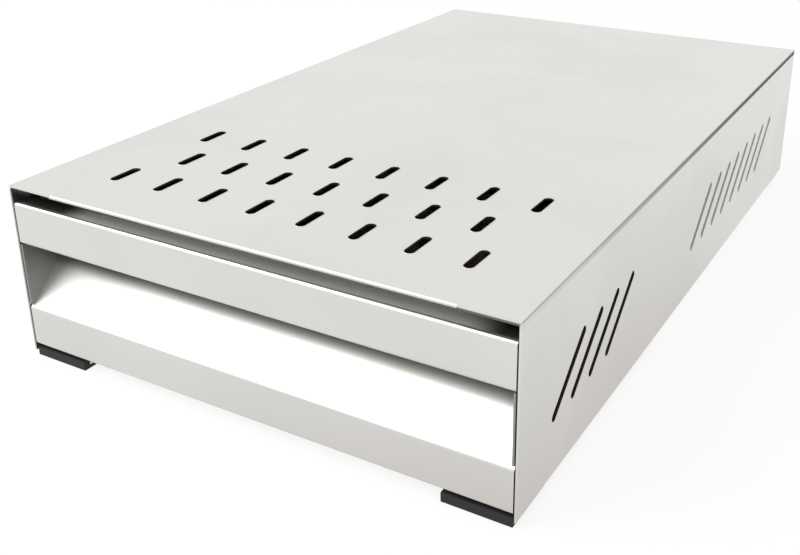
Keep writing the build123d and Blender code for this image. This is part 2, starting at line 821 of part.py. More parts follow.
def drawer_front():
    """One sheet: lower strip, sloped wall of the finger recess and the wall that the tray hangs from."""
    low, top = drawer_bottom + sheet / 2, back_wall_top - sheet / 2
    points = [(front_flange, low), (sheet / 2, low), (sheet / 2, strip_top)]
    points += [(back_wall, strip_top + slope_rise), (back_wall, top), (back_wall + fold_depth, top)]
    return folded_across(points, drawer_x)


def pull_bar():
    low, top = bar_bottom + sheet / 2, bar_top - sheet / 2
    return folded_across([(bar_depth, top), (sheet / 2, top), (sheet / 2, low), (bar_depth, low)], drawer_x)


def drawer_cheek():
    """The right end plate, which closes the recess and holds the pull bar from inside."""
    slope = sheet / 2 * (math.sqrt(2) - 1) + cheek_gap  # lower edge of the plate above depth and strip_top
    start, end = 2 * sheet, back_wall - sheet / 2
    behind = bar_depth + joint_gap
    lower, upper = bar_bottom - joint_gap, bar_bottom + sheet + joint_gap
    top = back_wall_top
    outline = [(0, strip_top + slope + start), (0, lower), (behind, lower), (behind, upper)]
    outline += [(sheet + joint_gap, upper), (sheet + joint_gap, top), (end, top)]
    outline += [(end, strip_top + slope + end), (start, strip_top + slope + start)]
    plane = Plane(origin=(drawer_x - sheet, front, 0), x_dir=(0, 1, 0), z_dir=(1, 0, 0))
    return extrude(plane * make_face(Polyline(*outline, close=True)), sheet)


def drawer_tray():
    """An open frame with a ledge for the pan, wings for the runners and a lug at each side as a stop."""
    floor = tray_floor_height
    inside = tray_x - sheet
    tray = block((-tray_x, tray_x), (tray_start, tray_end), (floor, tray_rim + sheet))
    tray += block((-tray_x, tray_x), (tray_start, tray_start + sheet), (floor, back_wall_top - 2 * sheet))
    tray -= block((-inside, inside), (tray_start + sheet, tray_end - sheet), (floor + sheet, case_top))
    window = inside - tray_lip
    tray -= block((-window, window), (tray_start + tray_lip, tray_end - tray_lip), (0, floor + 2 * sheet))
    stop_depth = runner_start + sheet + joint_gap + drawer_travel
    under = runner_height - 1.5 * sheet
    for side in (-1, 1):
        wing = sorted((side * inside, side * (tray_x + tray_wing)))
        tray += block(wing, (tray_start, tray_end), (tray_rim, tray_rim + sheet))
        lug = sorted((side * inside, side * (tray_x + lug_reach)))
        depth = (stop_depth, stop_depth + lug_thickness)
        tray += block(lug, depth, (under - stop_height, under - joint_gap))
    return tray


def chip_pan():
    """The lift-out pan for the wood chips, with a narrow rim."""
    half = tray_x - sheet - pan_gap
    start, end = tray_start + sheet + pan_gap, tray_end - sheet - pan_gap
    low = tray_floor_height + sheet
    top = low + pan_height
    pan = block((-half, half), (start, end), (low, top))
    pan = fillet(pan.edges().filter_by(Axis.Z), pan_corner)
    rim = block((-half - pan_rim, half + pan_rim), (start - pan_rim, end + pan_rim), (top - pan_wall, top))
    pan += fillet(rim.edges().filter_by(Axis.Z), pan_corner + pan_rim)
    inside = half - pan_wall
    hollow = block((-inside, inside), (start + pan_wall, end - pan_wall), (low + pan_wall, top + past))
    return pan - fillet(hollow.edges().filter_by(Axis.Z), pan_corner - pan_wall)


def pan_grips():
    """Two upright tabs inside the pan's ends, each with a finger hole."""
    outer = tray_x - sheet - pan_gap - pan_wall
    middle = (tray_start + tray_end) / 2
    half = pan_grip_width / 2
    low = tray_floor_height + sheet + pan_height / 2
    high = low + pan_height
    hole_z = high - half / 2 - 2
    grips = []
    for side in (-1, 1):
        x = sorted((side * outer, side * (outer - pan_wall)))
        grip = block(x, (middle - half, middle + half), (low, high))
        ends = ((x[0] - past, middle, hole_z), (x[1] + past, middle, hole_z))
        grips.append(grip - rod(*ends, half / 2))
    return grips


def pieces():
    """Every node by name, each one solid or a list of like solids."""
    feet = dict(zip(("left_front", "left_rear", "right_front", "right_rear"), foot_centres))
    nodes = {
        "top_plate": top_plate(),
        "side_wall_right": side_wall(),
        "side_wall_left": mirrored(side_wall()),
        "base_plate": base_plate(),
        "rear_panel": rear_panel(),
        "rear_panel_screws": rear_panel_screws(),
        "rear_panel_nuts": rear_panel_nuts(),
        "foot_rivets": [foot_rivet(x, d) for x, d in foot_centres],
        "partition": partition(),
        "insulation_board": insulation_board(),
        "heat_shield": heat_shield(),
        "shield_screws": shield_screws(),
        "shield_nuts": shield_nuts(),
        "heater_element": heater_element(),
        "heater_pins": heater_pins(),
        "element_glands": [gland(-element_leg), gland(element_leg)],
        "gland_nuts": gland_nuts(),
        "element_bracket_right": element_bracket(),
        "element_bracket_left": mirrored(element_bracket()),
        "bracket_screws": bracket_screws(),
        "drawer_runner_right": drawer_runner(),
        "drawer_runner_left": mirrored(drawer_runner()),
        "thermal_cutout": thermal_cutout(),
        "cutout_tabs": cutout_tabs(),
        "cutout_screws": cutout_screws(),
        "terminal_block": terminal_block(),
        "terminal_sleeves": terminal_sleeves(),
        "terminal_screws": terminal_screws(),
        "block_screws": block_screws(),
        "power_inlet": power_inlet(),
        "inlet_blades": inlet_blades(),
        "inlet_screws": inlet_screws(),
        "inlet_nuts": inlet_nuts(),
        "switch_housing": switch_housing(),
        "switch_rocker": switch_rocker(),
        "switch_tabs": switch_tabs(),
        "earth_stud": earth_stud(),
        "earth_lug": earth_lug(),
        "earth_nut": earth_nut(),
        "drawer_front": drawer_front(),
        "pull_bar": pull_bar(),
        "drawer_cheek_right": drawer_cheek(),
        "drawer_cheek_left": mirrored(drawer_cheek()),
        "drawer_tray": drawer_tray(),
        "chip_pan": chip_pan(),
        "pan_grips": pan_grips(),
    }
    nodes.update({"foot_" + name: foot(*centre) for name, centre in feet.items()})
    nodes.update({name: wire(points) for name, points in wires().items()})
    return nodes


def main():
    os.makedirs("parts", exist_ok=True)
    for name, shape in pieces().items():
        if isinstance(shape, list):
            shape = Compound(children=[solid for item in shape for solid in item.solids()])
        export_step(shape, "parts/" + name + ".step")


if __name__ == "__main__":
    main()
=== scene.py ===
import math

import bmesh
import bpy
from bpy.props import FloatProperty, FloatVectorProperty, IntProperty, PointerProperty
from mathutils import Matrix, Vector


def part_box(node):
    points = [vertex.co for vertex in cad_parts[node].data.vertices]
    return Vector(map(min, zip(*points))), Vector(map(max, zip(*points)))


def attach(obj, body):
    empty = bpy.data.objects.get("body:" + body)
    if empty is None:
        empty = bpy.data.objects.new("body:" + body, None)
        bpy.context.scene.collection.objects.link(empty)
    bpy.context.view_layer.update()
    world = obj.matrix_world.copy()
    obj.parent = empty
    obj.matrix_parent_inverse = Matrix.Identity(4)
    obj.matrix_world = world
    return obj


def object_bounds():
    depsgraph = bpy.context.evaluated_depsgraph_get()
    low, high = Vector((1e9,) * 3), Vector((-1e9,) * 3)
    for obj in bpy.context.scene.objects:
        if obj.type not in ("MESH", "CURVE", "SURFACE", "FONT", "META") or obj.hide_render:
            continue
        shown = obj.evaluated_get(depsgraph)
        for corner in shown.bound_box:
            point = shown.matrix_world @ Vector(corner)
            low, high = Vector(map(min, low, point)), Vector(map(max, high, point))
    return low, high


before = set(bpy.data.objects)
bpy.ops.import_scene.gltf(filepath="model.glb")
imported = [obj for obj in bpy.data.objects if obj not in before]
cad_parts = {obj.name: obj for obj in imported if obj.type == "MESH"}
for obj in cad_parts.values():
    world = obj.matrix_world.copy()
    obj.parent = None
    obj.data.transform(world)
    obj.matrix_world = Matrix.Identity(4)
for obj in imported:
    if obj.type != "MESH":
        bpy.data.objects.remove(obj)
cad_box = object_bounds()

bl_info = {
    "name": "Electric Smoke Box",
    "version": (1, 0, 0),
    "blender": (4, 5, 0),
    "location": "View3D > Sidebar > Smoke Box",
    "description": "Finishes, small details and a studio for a stainless electric smoke box",
    "category": "Object",
}

# Which way the polishing belt ran over a sheet: the grain is long one way and fine the other two.
ALONG_WIDTH = (6.0, 420.0, 420.0)
ALONG_DEPTH = (420.0, 6.0, 420.0)

# Directions that a face can look in. The drawer opens towards the front.
RIGHT, LEFT = (1, 0, 0), (-1, 0, 0)
FRONT = (0, -1, 0)
UP, DOWN = (0, 0, 1), (0, 0, -1)
UP_AND_FRONT = (0.0, -0.7071, 0.7071)

# Where a zone's side stands when nothing should end there: well outside the part.
FAR = 2.0

# What the polishing grain and its broad unevenness change on a polished sheet.
STREAK_TONE = 0.06
BLOTCH_TONE = 0.03
BLOTCH_ROUGHNESS = 0.06

# Roughness under the painted shade in the soot colour on polished sheets, and how far it hides the metal.
PAINTED_SHADE_ROUGHNESS = 0.6
PAINTED_SHADE_COVER = 0.6

# The doubled front edge of the top plate: half its width, and its depth.
HEM_REACH = 0.13
HEM_DEPTH = 0.03

# The seam between a side wall and the top plate: how far its painted shade reaches down the wall, and how
# much of it is painted in the soot colour.
SEAM_DEPTH = 0.0025
SEAM_PAINTED_SHADE = 0.8

# Sheet edges darken from the front to the rear, over this length, centred this far before the middle.
REAR_FADE = 0.45
REAR_FADE_BEFORE_MIDDLE = 0.06

# The sloping wall of the recess is polished finer than the rest, and duller at its left end over this far.
SLOPE_ROUGHNESS = 0.28
SLOPE_END_ROUGHNESS = 0.5
SLOPE_FADE = 0.13

# Faces that hardly reflect: the cut faces of the rear air slots, and the folds behind the pull bar.
DULL_ROUGHNESS = 0.6
CUT_METALLIC = 0.3
FOLD_METALLIC = 0.2

# The slots: how many in each row of the top, and where each group on a wall starts and its number.
TOP_ROWS = (8, 7, 8)
SIDE_GROUPS = ((0.0575, 4), (0.280, 8))

# How deep the middle of a pressed rim lies in the sheet, as a share of its radius.
TOP_RIM_SINK = 0.6
SIDE_RIM_SINK = 0.8


# Sizes and colours that a user would change


class SheetFinish(bpy.types.PropertyGroup):
    polished: FloatVectorProperty(
        name="Polished Steel", description="Colour of the outer sheets", subtype="COLOR", size=3,
        min=0.0, max=1.0, default=(0.745, 0.738, 0.712))
    plain: FloatVectorProperty(
        name="Plain Steel", description="Colour of the inner sheets", subtype="COLOR", size=3,
        min=0.0, max=1.0, default=(0.42, 0.415, 0.4))
    # This colour is also painted as shade on the polished sheets: inside the chamber and its slots, along the
    # seams and cut edges, and at the ends of the pull bar's folds.
    soot: FloatVectorProperty(
        name="Soot", description="Colour of the film inside the smoke chamber", subtype="COLOR", size=3,
        min=0.0, max=1.0, default=(0.035, 0.03, 0.026))
    shaded: FloatVectorProperty(
        name="Shaded Steel", description="Colour of sheet ends and folds that daylight hardly reaches",
        subtype="COLOR", size=3, min=0.0, max=1.0, default=(0.2, 0.198, 0.19))
    roughness: FloatProperty(
        name="Roughness", description="Roughness of the polished sheets", subtype="FACTOR",
        min=0.0, max=1.0, default=0.31)
    grain_depth: FloatProperty(
        name="Grain Depth", description="Height of the polishing grain", unit="LENGTH",
        min=0.0, default=0.000006, precision=6)


class SlotSizes(bpy.types.PropertyGroup):
    top_length: FloatProperty(
        name="Top Slot Length", description="Length of a smoke slot", unit="LENGTH",
        default=0.022, precision=4)
    top_width: FloatProperty(
        name="Top Slot Width", description="Width of a smoke slot", unit="LENGTH", default=0.006, precision=4)
    top_pitch: FloatProperty(
        name="Top Slot Pitch", description="Spacing along a row", unit="LENGTH", default=0.0333, precision=4)
    top_first: FloatProperty(
        name="First Row", description="First row behind the front edge", unit="LENGTH",
        default=0.0455, precision=4)
    row_pitch: FloatProperty(
        name="Row Pitch", description="Spacing between the rows", unit="LENGTH", default=0.0385, precision=4)
    side_length: FloatProperty(
        name="Side Slot Length", description="Length of an air slot", unit="LENGTH",
        default=0.0515, precision=4)
    side_width: FloatProperty(
        name="Side Slot Width", description="Width of an air slot", unit="LENGTH",
        default=0.0053, precision=4)
    side_pitch: FloatProperty(
        name="Side Slot Pitch", description="Spacing along the wall", unit="LENGTH",
        default=0.0235, precision=4)
    side_height: FloatProperty(
        name="Side Slot Height", description="Slot centres above the ground", unit="LENGTH",
        default=0.05425, precision=5)
    side_angle: FloatProperty(
        name="Side Slot Angle", description="Slope of the air slots", subtype="ANGLE", unit="ROTATION",
        default=math.radians(41.8))
    rim: FloatProperty(
        name="Rim Radius", description="Radius of the pressed edge round a slot", unit="LENGTH",
        default=0.0003, precision=5)
    rim_sides: IntProperty(
        name="Rim Sides", description="Faces round the pressed edge", default=6, min=3)


class RockerMarks(bpy.types.PropertyGroup):
    height: FloatProperty(
        name="Mark Height", description="Height of the on and off marks", unit="LENGTH",
        default=0.0036, precision=4)
    line: FloatProperty(
        name="Mark Line", description="Half the thickness of their lines", unit="LENGTH",
        default=0.00025, precision=5)


class StudioSetup(bpy.types.PropertyGroup):
    eye: FloatVectorProperty(
        name="Camera Place", description="Where the camera stands", subtype="XYZ", unit="LENGTH", size=3,
        default=(0.32905, -0.62897, 0.33489), precision=5)
    azimuth: FloatProperty(
        name="Azimuth", description="Camera angle round the case from straight in front", subtype="ANGLE",
        unit="ROTATION", default=math.radians(29.65))
    elevation: FloatProperty(
        name="Elevation", description="Camera angle above the horizon", subtype="ANGLE", unit="ROTATION",
        default=math.radians(21.68))
    roll: FloatProperty(
        name="Roll", description="Camera tilt", subtype="ANGLE", unit="ROTATION", default=math.radians(-0.17))
    lens: FloatProperty(name="Lens", description="Focal length in millimetres", default=47.33)
    shift: FloatVectorProperty(
        name="Shift", description="Camera shift as shares of the frame", size=2, default=(-0.05, -0.12))
    sky: FloatProperty(name="Sky", description="Strength of the plain surroundings", default=1.0)
    key_power: FloatProperty(
        name="Key Light", description="Power of the large lamp", unit="POWER", default=14.0)


# Node helpers


def group_with(name, inputs, outputs):
    """An empty shader node group with float, vector or colour sockets, and its two end nodes."""
    tree = bpy.data.node_groups.new(name, "ShaderNodeTree")
    for label, kind, default in inputs:
        socket = tree.interface.new_socket(label, in_out="INPUT", socket_type="NodeSocket" + kind)
        if default is not None:
            socket.default_value = default
    for label, kind in outputs:
        tree.interface.new_socket(label, in_out="OUTPUT", socket_type="NodeSocket" + kind)
    return tree, tree.nodes.new("NodeGroupInput"), tree.nodes.new("NodeGroupOutput")


def node(tree, kind, links=(), **settings):
    """A new node with its settings, its inputs linked from sockets or set to values by name or number."""
    made = tree.nodes.new(kind)
    for key, value in settings.items():
        setattr(made, key, value)
    for key, value in dict(links).items():
        if isinstance(value, bpy.types.NodeSocket):
            tree.links.new(value, made.inputs[key])
        else:
            made.inputs[key].default_value = value
    return made


def math_node(tree, operation, a, b=0.0, c=0.0):
    """The outcome of an operation on up to three plain numbers."""
    return node(tree, "ShaderNodeMath", {0: a, 1: b, 2: c}, operation=operation).outputs[0]


def vector_node(tree, operation, a, b):
    """The outcome of an operation on two vectors."""
    return node(tree, "ShaderNodeVectorMath", {0: a, 1: b}, operation=operation).outputs[0]


def scaled(tree, colour, factor):
    """A colour made lighter or darker by a factor."""
    return node(tree, "ShaderNodeVectorMath", {0: tuple(colour), 3: factor}, operation="SCALE").outputs[0]


def ramp(tree, value, low, high):
    """0 below low, 1 above high and smooth between."""
    links = {"Value": value, "From Min": low, "From Max": high}
    return node(tree, "ShaderNodeMapRange", links, interpolation_type="SMOOTHSTEP").outputs["Result"]


def blend(tree, factor, a, b):
    """a where the factor is 0 and b where it is 1, for plain numbers."""
    return node(tree, "ShaderNodeMix", {"Factor": factor, 2: a, 3: b}).outputs[0]


def colour_mix(tree, factor, a, b):
    """a where the factor is 0 and b where it is 1, for colours."""
    links = {"Factor": factor, 6: a, 7: b}
    return node(tree, "ShaderNodeMix", links, data_type="RGBA").outputs[2]


def grain_group():
    """Long fine scratches from a polishing belt, with a broad unevenness under them."""
    tree, start, end = group_with(
        "Belt Grain", [("Stretch", "Vector", (6, 420, 420)), ("Unevenness", "Float", 9.0)],
        [("Grain", "Float"), ("Blotch", "Float")])
    place = node(tree, "ShaderNodeTexCoord").outputs["Object"]
    drawn = vector_node(tree, "MULTIPLY", place, start.outputs["Stretch"])
    links = {"Vector": drawn, "Scale": 2.2, "Detail": 5.0, "Roughness": 0.62}
    fine = node(tree, "ShaderNodeTexNoise", links)
    links = {"Vector": place, "Scale": start.outputs["Unevenness"], "Detail": 3.0, "Distortion": 0.6}
    broad = node(tree, "ShaderNodeTexNoise", links)
    tree.links.new(fine.outputs["Fac"], end.inputs["Grain"])
    tree.links.new(ramp(tree, broad.outputs["Fac"], low=0.38, high=0.68), end.inputs["Blotch"])
    return tree


def film_group():
    """A patchy film, such as soot or heat colour, that is thicker in some places."""
    tree, start, end = group_with(
        "Patchy Film", [("Size", "Float", 30.0), ("Cover", "Float", 0.5)], [("Mask", "Float")])
    place = node(tree, "ShaderNodeTexCoord").outputs["Object"]
    links = {"Vector": place, "Scale": start.outputs["Size"], "Detail": 6.0, "Roughness": 0.6}
    noise = node(tree, "ShaderNodeTexNoise", links).outputs["Fac"]
    bare, fade = 0.85, 0.3
    low = math_node(tree, "SUBTRACT", bare, start.outputs["Cover"])
    tree.links.new(ramp(tree, noise, low, math_node(tree, "ADD", low, fade)), end.inputs["Mask"])
    return tree


def moulding_group():
    """The fine spark texture of a moulded surface."""
    tree, start, end = group_with(
        "Mould Texture", [("Fineness", "Float", 2500.0)], [("Height", "Float"), ("Wear", "Float")])
    place = node(tree, "ShaderNodeTexCoord").outputs["Object"]
    links = {"Vector": place, "Scale": start.outputs["Fineness"], "Detail": 2.0}
    fine = node(tree, "ShaderNodeTexNoise", links)
    broad = node(tree, "ShaderNodeTexNoise", {"Vector": place, "Scale": 60.0, "Detail": 3.0})
    tree.links.new(fine.outputs["Fac"], end.inputs["Height"])
    tree.links.new(broad.outputs["Fac"], end.inputs["Wear"])
    return tree


def zone_group():
    """1 inside a box in the frame of the part and 0 outside it, with soft sides."""
    inputs = [("Low", "Vector", None), ("High", "Vector", None), ("Softness", "Float", 0.002)]
    tree, start, end = group_with("Box Zone", inputs, [("Mask", "Float")])
    place = node(tree, "ShaderNodeTexCoord").outputs["Object"]
    above = vector_node(tree, "SUBTRACT", place, start.outputs["Low"])
    below = vector_node(tree, "SUBTRACT", start.outputs["High"], place)
    sides = node(tree, "ShaderNodeSeparateXYZ", {0: vector_node(tree, "MINIMUM", above, below)}).outputs
    least = math_node(tree, "MINIMUM", sides[0], math_node(tree, "MINIMUM", sides[1], sides[2]))
    half = math_node(tree, "MULTIPLY", start.outputs["Softness"], 0.5)
    tree.links.new(ramp(tree, least, math_node(tree, "MULTIPLY", half, -1.0), half), end.inputs["Mask"])
    return tree


def facing_group():
    """1 where a surface faces a direction within a limit, 0 where it turns away."""
    inputs = [("Direction", "Vector", (0, 0, 1)), ("Limit", "Float", 0.5)]
    tree, start, end = group_with("Facing", inputs, [("Mask", "Float")])
    normal = node(tree, "ShaderNodeTexCoord").outputs["Normal"]
    links = {0: normal, 1: start.outputs["Direction"]}
    along = node(tree, "ShaderNodeVectorMath", links, operation="DOT_PRODUCT").outputs["Value"]
    fade = 0.2
    low = math_node(tree, "SUBTRACT", start.outputs["Limit"], fade / 2)
    tree.links.new(ramp(tree, along, low, math_node(tree, "ADD", low, fade)), end.inputs["Mask"])
    return tree


def shared(name, build):
    """The shader group of that name, built the first time."""
    return bpy.data.node_groups.get(name) or build()


def effect(tree, name, build, **values):
    """A shared group placed in a material with its own values."""
    placed = node(tree, "ShaderNodeGroup", node_tree=shared(name, build))
    for key, value in values.items():
        placed.inputs[key].default_value = value
    return placed


def material(name):
    """A new material, its tree and its Principled shader."""
    made = bpy.data.materials.new(name)
    made.use_nodes = True
    return made, made.node_tree, made.node_tree.nodes["Principled BSDF"]


def bump(tree, shader, height, distance):
    """Small relief on a surface, as high as the distance."""
    links = {"Height": height, "Distance": distance, "Strength": 1.0}
    tree.links.new(node(tree, "ShaderNodeBump", links).outputs["Normal"], shader.inputs["Normal"])


# Masks


def zone(tree, softness, left=-FAR, right=FAR, front=-FAR, rear=FAR, bottom=-FAR, top=FAR):
    """1 between the given sides and 0 past them, in the frame of the part."""
    low, high = (left, front, bottom), (right, rear, top)
    return effect(tree, "Box Zone", zone_group, Low=low, High=high, Softness=softness).outputs["Mask"]


def facing(tree, direction, limit=0.5):
    """1 on faces that look in a direction."""
    return effect(tree, "Facing", facing_group, Direction=direction, Limit=limit).outputs["Mask"]


def either(tree, *masks):
    """Where any of the masks is."""
    result = masks[0]
    for mask in masks[1:]:
        result = math_node(tree, "MAXIMUM", result, mask)
    return result


def both(tree, *masks):
    """Where all of the masks are."""
    result = masks[0]
    for mask in masks[1:]:
        result = math_node(tree, "MULTIPLY", result, mask)
    return result


def outside(tree, mask):
    """Where a mask isn't."""
    return math_node(tree, "SUBTRACT", 1.0, mask)


def part_of(tree, mask, share):
    """A mask made weaker."""
    return math_node(tree, "MULTIPLY", mask, share)


# Materials


def change(made, label, mask, value):
    """Turns an input of a material's shader to a value inside a mask."""
    tree = made.node_tree
    into = tree.nodes["Principled BSDF"].inputs[label]
    tree.links.new(blend(tree, mask, into.links[0].from_socket, value), into)


def polished_sheet(name, stretch, painted_shade_mask=None, shaded=None):
    """Belt-polished stainless. Two functions may give masks of painted shade, one in the soot colour and one
    in the shaded colour.
    """
    finish = bpy.context.scene.sheet_finish
    made, tree, shader = material(name)
    grain = effect(tree, "Belt Grain", grain_group, Stretch=stretch)
    streak = math_node(tree, "SUBTRACT", grain.outputs["Grain"], 0.5)
    dull = math_node(tree, "MULTIPLY", grain.outputs["Blotch"], BLOTCH_TONE)
    tone = math_node(tree, "SUBTRACT", math_node(tree, "MULTIPLY_ADD", streak, STREAK_TONE, 1.0), dull)
    steel = scaled(tree, finish.polished, tone)
    rough = math_node(tree, "MULTIPLY_ADD", grain.outputs["Blotch"], BLOTCH_ROUGHNESS, finish.roughness)
    shader.inputs["Metallic"].default_value = 1.0
    if shaded:
        steel = colour_mix(tree, shaded(tree), steel, (*finish.shaded, 1.0))
    if painted_shade_mask:
        # Painted shade: inside this mask the sheet takes the soot colour and becomes rougher and less
        # metallic.
        soot = painted_shade_mask(tree)
        steel = colour_mix(tree, soot, steel, (*finish.soot, 1.0))
        rough = math_node(tree, "MAXIMUM", rough, part_of(tree, soot, PAINTED_SHADE_ROUGHNESS))
        tree.links.new(math_node(tree, "MULTIPLY_ADD", soot, -PAINTED_SHADE_COVER, 1.0), shader.inputs["Metallic"])
    tree.links.new(steel, shader.inputs["Base Color"])
    tree.links.new(rough, shader.inputs["Roughness"])
    bump(tree, shader, grain.outputs["Grain"], finish.grain_depth)
    return made


def plain_sheet(name, stretch, soot=0.0, shade=1.0):
    """Unpolished stainless for the inner sheets, with as much soot as its place collects; shade below 1
    darkens it as painted shade.
    """
    finish = bpy.context.scene.sheet_finish
    made, tree, shader = material(name)
    grain = effect(tree, "Belt Grain", grain_group, Stretch=stretch, Unevenness=14.0)
    film = effect(tree, "Patchy Film", film_group, Size=22.0, Cover=soot)
    darkest, contrast = 0.88, 0.2
    tone = math_node(tree, "MULTIPLY_ADD", grain.outputs["Grain"], contrast * shade, darkest * shade)
    coloured = colour_mix(tree, film.outputs["Mask"], scaled(tree, finish.plain, tone), (*finish.soot, 1.0))
    tree.links.new(coloured, shader.inputs["Base Color"])
    shader.inputs["Metallic"].default_value = 0.9
    clean_roughness, added_by_soot = 0.38, 0.25
    rough = math_node(tree, "MULTIPLY_ADD", film.outputs["Mask"], added_by_soot, clean_roughness)
    tree.links.new(rough, shader.inputs["Roughness"])
    bump(tree, shader, grain.outputs["Grain"], 0.00001)
    return made


def patchy_metal(name, clean, tint, size, roughness, metallic=1.0):
    """Metal that heat, smoke or handling has tinted and dulled in patches."""
    made, tree, shader = material(name)
    film = effect(tree, "Patchy Film", film_group, Size=size, Cover=0.55)
    coloured = colour_mix(tree, film.outputs["Mask"], (*clean, 1.0), (*tint, 1.0))
    tree.links.new(coloured, shader.inputs["Base Color"])
    added_by_tint = 0.15
    rough = math_node(tree, "MULTIPLY_ADD", film.outputs["Mask"], added_by_tint, roughness)
    tree.links.new(rough, shader.inputs["Roughness"])
    shader.inputs["Metallic"].default_value = metallic
    bump(tree, shader, film.outputs["Mask"], 0.00002)
    return made


def moulded(name, colour, roughness, fineness=2500.0, depth=0.00003, metallic=0.0):
    """Rubber, plastic, ceramic or a pressed shell with an even fine texture, slightly uneven in colour."""
    made, tree, shader = material(name)
    texture = effect(tree, "Mould Texture", moulding_group, Fineness=fineness)
    worn = tuple(min(1.0, c * 1.25 + 0.004) for c in colour)
    mixed = colour_mix(tree, texture.outputs["Wear"], (*colour, 1.0), (*worn, 1.0))
    tree.links.new(mixed, shader.inputs["Base Color"])
    spread = 0.1
    rough = math_node(tree, "MULTIPLY_ADD", texture.outputs["Wear"], spread, roughness - spread / 2)
    tree.links.new(rough, shader.inputs["Roughness"])
    shader.inputs["Metallic"].default_value = metallic
    bump(tree, shader, texture.outputs["Height"], depth)
    return made


def dress(finish, *names):
    """Gives CAD nodes a material, and keeps their shapes."""
    for name in names:
        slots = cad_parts[name].data.materials
        slots.clear()
        slots.append(finish)


# Pressed rims round the slots


def rim_tree():
    """A row of obround rims: a filleted rectangle swept with a small circle, copied along a line."""
    tree = bpy.data.node_groups.new("Slot Row", "GeometryNodeTree")
    for label, kind in (("Length", "Float"), ("Width", "Float"), ("Radius", "Float"), ("Sides", "Int"),
                        ("Count", "Int"), ("Start", "Vector"), ("Step", "Vector"), ("Turn", "Vector"),
                        ("Finish", "Material")):
        tree.interface.new_socket(label, in_out="INPUT", socket_type="NodeSocket" + kind)
    tree.interface.new_socket("Geometry", in_out="OUTPUT", socket_type="NodeSocketGeometry")
    start = tree.nodes.new("NodeGroupInput").outputs
    links = {"Width": start["Length"], "Height": start["Width"]}
    outline = node(tree, "GeometryNodeCurvePrimitiveQuadrilateral", links)
    just_under_half = 0.499
    corner = math_node(tree, "MULTIPLY", start["Width"], just_under_half)
    links = {"Curve": outline.outputs["Curve"], "Radius": corner, "Count": 8}
    rounded = node(tree, "GeometryNodeFilletCurve", links, mode="POLY")
    links = {"Resolution": start["Sides"], "Radius": start["Radius"]}
    profile = node(tree, "GeometryNodeCurvePrimitiveCircle", links)
    links = {"Curve": rounded.outputs["Curve"], "Profile Curve": profile.outputs["Curve"]}
    rim = node(tree, "GeometryNodeCurveToMesh", links)
    links = {"Count": start["Count"], "Start Location": start["Start"], "Offset": start["Step"]}
    line = node(tree, "GeometryNodeMeshLine", links)
    links = {"Points": line.outputs["Mesh"], "Instance": rim.outputs["Mesh"]}
    copies = node(tree, "GeometryNodeInstanceOnPoints", links)
    tree.links.new(start["Turn"], copies.inputs["Rotation"])
    real = node(tree, "GeometryNodeRealizeInstances", {"Geometry": copies.outputs["Instances"]})
    links = {"Geometry": real.outputs["Geometry"], "Material": start["Finish"]}
    dressed = node(tree, "GeometryNodeSetMaterial", links)
    tree.links.new(dressed.outputs["Geometry"], tree.nodes.new("NodeGroupOutput").inputs["Geometry"])
    return tree


def grown(tree, values):
    """The mesh that a geometry tree makes with these input values."""
    seed = bpy.data.objects.new("seed", bpy.data.meshes.new("seed"))
    bpy.context.scene.collection.objects.link(seed)
    modifier = seed.modifiers.new("Made", "NODES")
    modifier.node_group = tree
    keys = {item.name: item.identifier for item in tree.interface.items_tree if item.in_out == "INPUT"}
    for label, value in values.items():
        modifier[keys[label]] = value
    seed.update_tag()
    bpy.context.view_layer.update()
    mesh = bpy.data.meshes.new_from_object(seed.evaluated_get(bpy.context.evaluated_depsgraph_get()))
    seed.modifiers.remove(modifier)
    bpy.data.objects.remove(seed)
    return mesh


def joined(name, meshes, body):
    """One piece from several meshes, riding on a body."""
    whole = bmesh.new()
    for mesh in meshes:
        whole.from_mesh(mesh)
    bmesh.ops.recalc_face_normals(whole, faces=whole.faces)
    result = bpy.data.meshes.new(name)
    whole.to_mesh(result)
    whole.free()
    for finish in meshes[0].materials:
        result.materials.append(finish)
    for face in result.polygons:
        face.use_smooth = True
    piece = bpy.data.objects.new(name, result)
    bpy.context.scene.collection.objects.link(piece)
    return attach(piece, body)


# Operators


